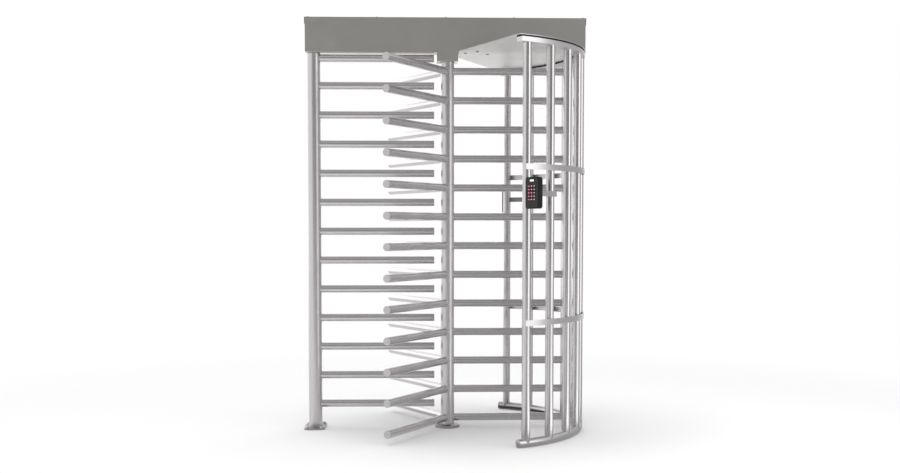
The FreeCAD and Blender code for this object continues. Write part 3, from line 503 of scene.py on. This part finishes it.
def hex_bolt(content, place, across_flats, head, washer_radius, washer):
    """A hexagon head with a chamfered crown on a plain washer, standing on place."""
    washer_profile = [
        (washer_radius, 0.0),
        (washer_radius, washer * WASHER_EDGE_HEIGHT),
        (washer_radius * WASHER_FACE_RADIUS, washer),
        (across_flats / 2, washer),
    ]
    rows = [ring(content, place, radius, height, full_turn(WASHER_STEPS))
            for radius, height in washer_profile]
    for lower, upper in zip(rows, rows[1:]):
        bridge(content, lower, upper)

    corner_radius = across_flats / math.sqrt(3)
    corner_angles = [math.radians(360 / HEAD_SIDES * side + HEAD_TURN) for side in range(HEAD_SIDES)]
    foot = ring(content, place, corner_radius, washer, corner_angles)
    corners = ring(content, place, corner_radius, washer + head * HEAD_CORNER_HEIGHT, corner_angles)
    bridge(content, foot, corners)

    steps = HEAD_SIDES * CROWN_STEPS_PER_SIDE
    crown_angles = [math.radians(360 / steps * step + HEAD_TURN) for step in range(steps)]
    crown = ring(content, place, across_flats * CROWN_RADIUS, washer + head, crown_angles)
    for side in range(HEAD_SIDES):
        first = side * CROWN_STEPS_PER_SIDE
        arc = [crown[(first + step) % steps] for step in range(CROWN_STEPS_PER_SIDE + 1)]
        content.faces.new((corners[side], corners[(side + 1) % HEAD_SIDES], *reversed(arc)))
    content.faces.new(crown)


def post_anchor_bolts(content):
    spacing_x, spacing_y = PLATE_BOLT_SPACING
    for side_x in (-0.5, 0.5):
        for side_y in (-0.5, 0.5):
            place = (POST_X + side_x * spacing_x, side_y * spacing_y, PLATE_TOP)
            hex_bolt(content, place, **POST_BOLT)


def disc_anchor_bolts(content):
    for index in range(DISC_BOLT_COUNT):
        angle = math.radians(DISC_BOLT_FIRST_ANGLE + index * 360 / DISC_BOLT_COUNT)
        place = circle_point((0.0, 0.0, DISC_TOP), DISC_BOLT_CIRCLE / 2, angle)
        hex_bolt(content, place, **DISC_BOLT)


mesh_piece("post_anchor_bolts", post_anchor_bolts, bright_zinc, "frame")
mesh_piece("disc_anchor_bolts", disc_anchor_bolts, bright_zinc, "frame")


# Weld seams where the tubes meet

WELD_RADIUS = 0.0018
WELD_BEVEL_STEPS = 2
SADDLE_STEPS = 36
LOOP_STEPS = 40


def seam_piece(name, loops, body):
    """Weld seams, one round bead along each closed loop of points."""
    curve = bpy.data.curves.new(name, "CURVE")
    curve.dimensions = "3D"
    curve.bevel_depth = WELD_RADIUS
    curve.bevel_resolution = WELD_BEVEL_STEPS
    for loop in loops:
        spline = curve.splines.new("POLY")
        spline.points.add(len(loop) - 1)
        for point, place in zip(spline.points, loop):
            point.co = (*place, 1.0)
        spline.use_cyclic_u = True
    curve.materials.append(seam_weld)
    piece = bpy.data.objects.new(name, curve)
    bpy.context.scene.collection.objects.link(piece)
    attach(piece, body)


def saddle_loop(bar_radius, post_radius, height, degrees, post_x=0.0):
    """Where a level bar, pointing that way, meets an upright tube."""
    turn = Matrix.Rotation(math.radians(degrees), 4, "Z")
    loop = []
    for angle in full_turn(SADDLE_STEPS):
        sideways = bar_radius * math.cos(angle)
        outwards = math.sqrt(post_radius ** 2 - sideways ** 2)
        place = turn @ Vector((outwards, sideways, 0.0))
        loop.append((place.x + post_x, place.y, height + bar_radius * math.sin(angle)))
    return loop


def round_loop(centre, radius):
    return [circle_point(centre, radius, angle) for angle in full_turn(LOOP_STEPS)]


def rail_saddle_loop(degrees):
    """Where an upright bar stands saddled on the bottom rail of the same tube."""
    radial = Vector((math.cos(math.radians(degrees)), math.sin(math.radians(degrees)), 0.0))
    tangent = Vector((-radial.y, radial.x, 0.0))
    loop = []
    for angle in full_turn(LOOP_STEPS):
        inwards = RAIL_RADIUS * math.sin(angle)
        along = RAIL_RADIUS * math.cos(angle)
        height = RAIL_RADIUS + math.sqrt(max(RAIL_RADIUS ** 2 - inwards ** 2, 0.0))
        place = radial * (CAGE_RADIUS + inwards) + tangent * along
        loop.append((place.x, place.y, height))
    return loop


arm_heights = [LOWEST_ARM + index * ARM_PITCH for index in range(ARM_COUNT)]
comb_heights = [HIGHEST_COMB_BAR - index * ARM_PITCH for index in range(ARM_COUNT)]
cage_bar_angles = [-CAGE_HALF_ANGLE + index * 2 * CAGE_HALF_ANGLE / (CAGE_BAR_COUNT - 1)
                   for index in range(CAGE_BAR_COUNT)]

rotor_loops = [saddle_loop(ARM_RADIUS, COLUMN_RADIUS, height, degrees)
               for degrees in WING_ANGLES.values() for height in arm_heights]
comb_loops = [saddle_loop(COMB_RADIUS, POST_RADIUS, height, 0.0, POST_X) for height in comb_heights]
comb_loops.append(round_loop((POST_X, 0.0, PLATE_TOP), POST_RADIUS))
cage_loops = [rail_saddle_loop(degrees) for degrees in cage_bar_angles]
for bar_degrees in cage_bar_angles:
    bar_top = circle_point((0.0, 0.0, TOP_RAIL_FOOT), CAGE_RADIUS, math.radians(bar_degrees))
    cage_loops.append(round_loop(bar_top, RAIL_RADIUS))

seam_piece("rotor_weld_seams", rotor_loops, "rotor")
seam_piece("comb_weld_seams", comb_loops, "frame")
seam_piece("cage_weld_seams", cage_loops, "frame")


# Keypads on the readers: dark caps, lit guides between their rows, and digits. Sizes in metres,
# colours from the left column to the right one

KEY_DIGITS = ("123", "456", "789", "*0#")
KEY_ROWS = len(KEY_DIGITS)
KEY_COLUMNS = len(KEY_DIGITS[0])
KEY_PITCH = (0.0188, 0.0169)
KEY_SIZE = (0.0135, 0.0105)
KEY_CORNER = 0.0022
KEY_RISE = 0.0009
KEY_BEVEL = 0.0005
KEY_COLOURS = ((0.030, 0.0004, 0.0030), (0.016, 0.0004, 0.0020), (0.005, 0.0008, 0.0010))
GUIDE_SIZE = (0.0088, 0.0042)
GUIDE_CORNER = 0.00189
GUIDE_SHIFT = -0.0022
GUIDE_RISE = 0.0004
GUIDE_BEVEL = 0.00016
GUIDE_COLOURS = ((0.62, 0.19, 0.27), (0.54, 0.30, 0.35), (0.44, 0.36, 0.36))
DIGIT_SIZE = 0.0086
DIGIT_SHIFT = -0.0022
DIGIT_RISE = 0.0001
DIGIT_CURVE_STEPS = 3
CORNER_STEPS = 5

# Each reader's turn about its cage bar, in degrees, and the side of the cage that it is on
READER_TURNS = {"front": (50.0, 1.0), "rear": (75.0, -1.0)}
READER_WIDTH = 0.093
READER_GAP = 0.0015
READER_FORWARD = 0.020
READER_DEPTH = 0.030
READER_MIDDLE_X = RAIL_RADIUS + READER_GAP + READER_WIDTH / 2
READER_FACE_Y = -(READER_FORWARD + READER_DEPTH / 2)
READER_LOW, READER_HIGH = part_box("front_reader_housing")
READER_MIDDLE_Z = (READER_LOW.z + READER_HIGH.z) / 2

key_materials = [
    moulded_plastic("key_cap_" + str(column), colour, roughness=0.45, specular=0.12)
    for column, colour in enumerate(KEY_COLOURS)
]
guide_materials = [
    lit_diffuser("key_guide_" + str(column), colour, strength=1.0)
    for column, colour in enumerate(GUIDE_COLOURS)
]
digit_material = lit_diffuser("key_digits", (0.42, 0.09, 0.15), strength=1.0)


def on_reader(side, across, out, up):
    """A place on a reader's face: across its width, out of the face and up from its middle."""
    turn, cage_side = READER_TURNS[side]
    from_bar = Vector((READER_MIDDLE_X + across, READER_FACE_Y - out, 0.0))
    place = Matrix.Rotation(-math.radians(turn), 4, "Z") @ from_bar
    bar_x, bar_y, _ = circle_point((0.0, 0.0, 0.0), CAGE_RADIUS, math.radians(-CAGE_HALF_ANGLE))
    return Vector((place.x + bar_x, (place.y + bar_y) * cage_side, READER_MIDDLE_Z + up))


def rounded_outline(size, corner):
    """Points round a rectangle with round corners, about its middle."""
    width, height = size
    outline = []
    for quarter, (side_x, side_z) in enumerate(((1, 1), (-1, 1), (-1, -1), (1, -1))):
        for step in range(CORNER_STEPS + 1):
            angle = math.radians(90 * quarter + 90 * step / CORNER_STEPS)
            outline.append((side_x * (width / 2 - corner) + corner * math.cos(angle),
                            side_z * (height / 2 - corner) + corner * math.sin(angle)))
    return outline


def pad(content, side, middle, size, corner, rise, bevel):
    """A low cap with round corners and a bevelled rim, standing on a reader's face."""
    across, up = middle
    width, height = size
    top_size = (width - 2 * bevel, height - 2 * bevel)
    rows = []
    for row_size, row_corner, out in ((size, corner, 0.0),
                                      (size, corner, rise - bevel),
                                      (top_size, corner - bevel, rise)):
        rows.append([content.verts.new(on_reader(side, across + x, out, up + z))
                     for x, z in rounded_outline(row_size, row_corner)])
    for lower, upper in zip(rows, rows[1:]):
        bridge(content, lower, upper)
    content.faces.new(rows[-1])


def key_place(column, row, shift=0.0):
    """The middle of a key, across and up from the middle of the keypad."""
    across = (column - (KEY_COLUMNS - 1) / 2) * KEY_PITCH[0] + shift
    up = ((KEY_ROWS - 1) / 2 - row) * KEY_PITCH[1]
    return across, up


def key_caps(side, column):
    def build(content):
        for row in range(KEY_ROWS):
            pad(content, side, key_place(column, row), KEY_SIZE, KEY_CORNER, KEY_RISE, KEY_BEVEL)
    return build


def key_guides(side, column):
    def build(content):
        for gap in range(KEY_ROWS + 1):
            middle = key_place(column, gap - 0.5, GUIDE_SHIFT)
            pad(content, side, middle, GUIDE_SIZE, GUIDE_CORNER, GUIDE_RISE, GUIDE_BEVEL)
    return build


def digit_outline(text):
    """The points and faces of one flat digit about its middle."""
    curve = bpy.data.curves.new("digit", "FONT")
    curve.body = text
    curve.size = DIGIT_SIZE
    curve.align_x = "CENTER"
    curve.align_y = "CENTER"
    curve.resolution_u = DIGIT_CURVE_STEPS
    letter = bpy.data.objects.new("digit", curve)
    bpy.context.scene.collection.objects.link(letter)
    bpy.context.view_layer.update()
    shown = letter.evaluated_get(bpy.context.evaluated_depsgraph_get())
    mesh = bpy.data.meshes.new_from_object(shown)
    bpy.data.objects.remove(letter)
    bpy.data.curves.remove(curve)
    points = [vertex.co.copy() for vertex in mesh.vertices]
    faces = [tuple(polygon.vertices) for polygon in mesh.polygons]
    bpy.data.meshes.remove(mesh)
    return points, faces


def key_digits(side):
    def build(content):
        for row, line in enumerate(KEY_DIGITS):
            for column, text in enumerate(line):
                across, up = key_place(column, row, DIGIT_SHIFT)
                points, faces = digit_outline(text)
                places = [on_reader(side, across + point.x, KEY_RISE + DIGIT_RISE, up + point.y)
                          for point in points]
                verts = [content.verts.new(place) for place in places]
                for face in faces:
                    content.faces.new([verts[index] for index in face])
    return build


for reader_side in READER_TURNS:
    for key_column in range(KEY_COLUMNS):
        suffix = reader_side + "_" + str(key_column)
        mesh_piece("key_caps_" + suffix, key_caps(reader_side, key_column),
                   key_materials[key_column], "frame")
        mesh_piece("key_guides_" + suffix, key_guides(reader_side, key_column),
                   guide_materials[key_column], "frame")
    mesh_piece("key_digits_" + reader_side, key_digits(reader_side), digit_material,
               "frame")


# Stage: floor, reflecting cards, lamps, world and camera. A radiance of 1 is white

FLOOR_HALF_SIZE = 40.0
FLOOR_COLOUR = 0.88
FLOOR_LIFT = 0.03
NEAR_FLOOR = 2.2
FAR_FLOOR = 4.5
WORLD_FILL = 0.60
CARD_DISTANCE = 12.0


def new_node(tree, kind, values=None, links=None, **settings):
    """A node with those settings, and a plain value or a link for each input socket named."""
    node = tree.nodes.new(kind)
    for name, value in settings.items():
        setattr(node, name, value)
    for socket, value in (values or {}).items():
        node.inputs[socket].default_value = value
    for socket, output in (links or {}).items():
        tree.links.new(output, node.inputs[socket])
    return node


def flat_object(name, corners):
    """One face between those corners, and the empty node tree of its material."""
    mesh = bpy.data.meshes.new(name)
    mesh.from_pydata(corners, [], [tuple(range(len(corners)))])
    panel = bpy.data.objects.new(name, mesh)
    bpy.context.scene.collection.objects.link(panel)
    material = bpy.data.materials.new(name)
    material.use_nodes = True
    material.node_tree.nodes.clear()
    mesh.materials.append(material)
    return panel, material.node_tree


def card(name, corners, radiance):
    """A plain panel that only reflections see; it lights nothing and casts no shadow. Far off, such
    panels stand for the studio round the object; on the floor, some paint shade and highlights into
    reflections.
    """
    panel, tree = flat_object(name, corners)
    glow = new_node(tree, "ShaderNodeEmission", values={"Strength": radiance})
    new_node(tree, "ShaderNodeOutputMaterial", links={"Surface": glow.outputs["Emission"]})
    panel.visible_camera = False
    panel.visible_diffuse = False
    panel.visible_shadow = False
    panel.visible_transmission = False


def standing_card(name, start, end, heights, radiance):
    """An upright card over the floor line from start to end."""
    low, high = heights
    card(name, [(*start, low), (*end, low), (*end, high), (*start, high)], radiance)


def far_card(name, azimuths, heights, radiance):
    """An upright card far off, across azimuths in degrees from -Y towards +X."""
    start, end = ((CARD_DISTANCE * math.sin(math.radians(azimuth)),
                   -CARD_DISTANCE * math.cos(math.radians(azimuth))) for azimuth in azimuths)
    standing_card(name, start, end, heights, radiance)


def level_card(name, outline, height, radiance):
    card(name, [(x, y, height) for x, y in outline], radiance)


def white_background_factor(tree):
    """1 for camera, glossy and transmission rays, 0 for the light that falls on surfaces."""
    path = new_node(tree, "ShaderNodeLightPath")
    factor = path.outputs["Is Camera Ray"]
    for name in ("Is Glossy Ray", "Is Transmission Ray"):
        larger = new_node(tree, "ShaderNodeMath", operation="MAXIMUM",
                          links={0: factor, 1: path.outputs[name]})
        factor = larger.outputs["Value"]
    return factor


def make_floor():
    """A pale floor that keeps shadows near the object and turns to the white background far off."""
    half = FLOOR_HALF_SIZE
    corners = [(-half, -half, 0), (half, -half, 0), (half, half, 0), (-half, half, 0)]
    floor, tree = flat_object("studio_floor", corners)
    background = white_background_factor(tree)
    coordinates = new_node(tree, "ShaderNodeTexCoord")
    distance = new_node(tree, "ShaderNodeVectorMath", operation="LENGTH",
                        links={0: coordinates.outputs["Object"]})
    spread = new_node(tree, "ShaderNodeMapRange", interpolation_type="SMOOTHSTEP",
                      values={"From Min": NEAR_FLOOR, "From Max": FAR_FLOOR},
                      links={"Value": distance.outputs["Value"]})
    far = new_node(tree, "ShaderNodeMath", operation="MULTIPLY",
                   links={0: spread.outputs["Result"], 1: background})
    matt = new_node(tree, "ShaderNodeBsdfDiffuse", values={"Color": (*grey(FLOOR_COLOUR), 1.0)})
    lifted = new_node(tree, "ShaderNodeMath", operation="MULTIPLY",
                      values={1: FLOOR_LIFT}, links={0: background})
    lift = new_node(tree, "ShaderNodeEmission", links={"Strength": lifted.outputs["Value"]})
    near = new_node(tree, "ShaderNodeAddShader",
                    links={0: matt.outputs["BSDF"], 1: lift.outputs["Emission"]})
    white = new_node(tree, "ShaderNodeEmission", values={"Strength": 1.0})
    blend = new_node(tree, "ShaderNodeMixShader", links={
        0: far.outputs["Value"],
        1: near.outputs["Shader"],
        2: white.outputs["Emission"],
    })
    new_node(tree, "ShaderNodeOutputMaterial", links={"Surface": blend.outputs["Shader"]})


def make_world():
    """Soft fill light from all sides, seen as plain white."""
    world = bpy.data.worlds.new("studio")
    world.use_nodes = True
    tree = world.node_tree
    tree.nodes.clear()
    soft, white = (
        new_node(tree, "ShaderNodeBackground", values={"Color": (*WHITE, 1.0), "Strength": strength})
        for strength in (WORLD_FILL, 1.0)
    )
    blend = new_node(tree, "ShaderNodeMixShader", links={
        0: white_background_factor(tree),
        1: soft.outputs["Background"],
        2: white.outputs["Background"],
    })
    new_node(tree, "ShaderNodeOutputWorld", links={"Surface": blend.outputs["Shader"]})
    bpy.context.scene.world = world


def area_lamp(name, place, target, size, radiance, in_reflections):
    """A rectangular soft box of that radiance."""
    width, height = size
    data = bpy.data.lights.new(name, "AREA")
    data.shape = "RECTANGLE"
    data.size = width
    data.size_y = height
    data.energy = radiance * math.pi * width * height
    lamp = bpy.data.objects.new(name, data)
    lamp.location = place
    lamp.rotation_euler = (Vector(target) - Vector(place)).to_track_quat("-Z", "Y").to_euler()
    lamp.visible_camera = False
    lamp.visible_glossy = in_reflections
    bpy.context.scene.collection.objects.link(lamp)


def make_camera():
    data = bpy.data.cameras.new("camera")
    data.sensor_width = SENSOR_MILLIMETRES
    data.lens = FOCAL_PIXELS * SENSOR_MILLIMETRES / PHOTO_WIDTH
    data.shift_x = (PHOTO_WIDTH / 2 - PRINCIPAL_X) / PHOTO_WIDTH
    data.shift_y = (PRINCIPAL_Y - PHOTO_HEIGHT / 2) / PHOTO_WIDTH
    data.clip_end = FAR_CLIP
    camera = bpy.data.objects.new("camera", data)
    camera.location = CAMERA_PLACE
    camera.rotation_euler = (math.radians(90.0 - CAMERA_PITCH), 0.0, -math.radians(CAMERA_YAW))
    bpy.context.scene.collection.objects.link(camera)
    bpy.context.scene.camera = camera


make_floor()
make_world()
far_card("front_card", azimuths=(-24.0, 22.0), heights=(-2.0, 7.0), radiance=0.37)
far_card("front_flag", azimuths=(22.0, 42.0), heights=(-2.0, 8.0), radiance=0.20)
far_card("left_card", azimuths=(-110.0, -30.0), heights=(-4.0, 9.0), radiance=1.10)
far_card("rear_left_card", azimuths=(-168.0, -110.0), heights=(-4.0, 9.0), radiance=1.80)
far_card("right_card", azimuths=(84.0, 150.0), heights=(-4.0, 4.2), radiance=0.55)
far_card("right_upper_card", azimuths=(84.0, 165.0), heights=(4.2, 9.0), radiance=0.90)
# Painted shade in reflections: a dim sheet on the floor before and under the rotor stands in for the
# shaded floor there
level_card("painted_shade_floor_front", outline=[(0.02, -5.0), (1.4, -5.0), (1.0, 0.5), (0.02, 0.5)],
           height=0.004, radiance=0.46)
# Painted shadow in reflections: a near-black sheet along the inside of the rear rail stands in for the
# rail's contact shadow
level_card("painted_shadow_under_rear_rail", outline=[(0.24, 0.70), (0.20, 0.52), (0.30, 0.50),
                                      (0.55, 0.26), (0.67, 0.39), (0.41, 0.68)],
           height=0.008, radiance=0.06)
# A reflected lamp shows what lies behind it too, so a dim card keeps the white world from adding to it
standing_card("softbox_back", start=(2.40, -2.67), end=(3.25, -1.11), heights=(0.45, 3.30),
              radiance=0.25)
# Painted highlight: a bright sheet under the soft box and another on the floor towards it, seen only
# in reflections, carry the soft box's streak down the upright bars without lighting anything
standing_card("painted_highlight_below_softbox", start=(2.36, -2.65), end=(3.21, -1.09), heights=(0.01, 0.45),
              radiance=1.60)
level_card("painted_highlight_on_floor", outline=[(0.66, -0.86), (2.36, -2.65), (3.21, -1.09), (1.00, -0.42)],
           height=0.006, radiance=1.90)
level_card("dim_floor_card_right", outline=[(1.1, -0.40), (9.0, -2.4), (9.0, 9.0), (1.1, 2.0)],
           height=0.004, radiance=0.56)
level_card("ceiling_card", outline=[(-9.0, -12.0), (9.0, -12.0), (9.0, 6.5), (-9.0, 6.5)],
           height=7.0, radiance=0.55)
area_lamp("right_softbox", place=(2.785, -1.868, 1.875), target=(0.45, -0.60, 1.875),
          size=(1.78, 2.85), radiance=1.72, in_reflections=True)
area_lamp("overhead_softbox", place=(-1.2, 0.9, 12.0), target=(-1.2, 0.9, 0.0),
          size=(8.0, 8.0), radiance=3.8, in_reflections=False)
area_lamp("front_softbox", place=(-1.5, -7.2, 2.2), target=(0.0, 0.0, 1.4),
          size=(5.0, 3.0), radiance=1.6, in_reflections=False)
make_camera()
bpy.context.scene.view_settings.view_transform = "Standard"
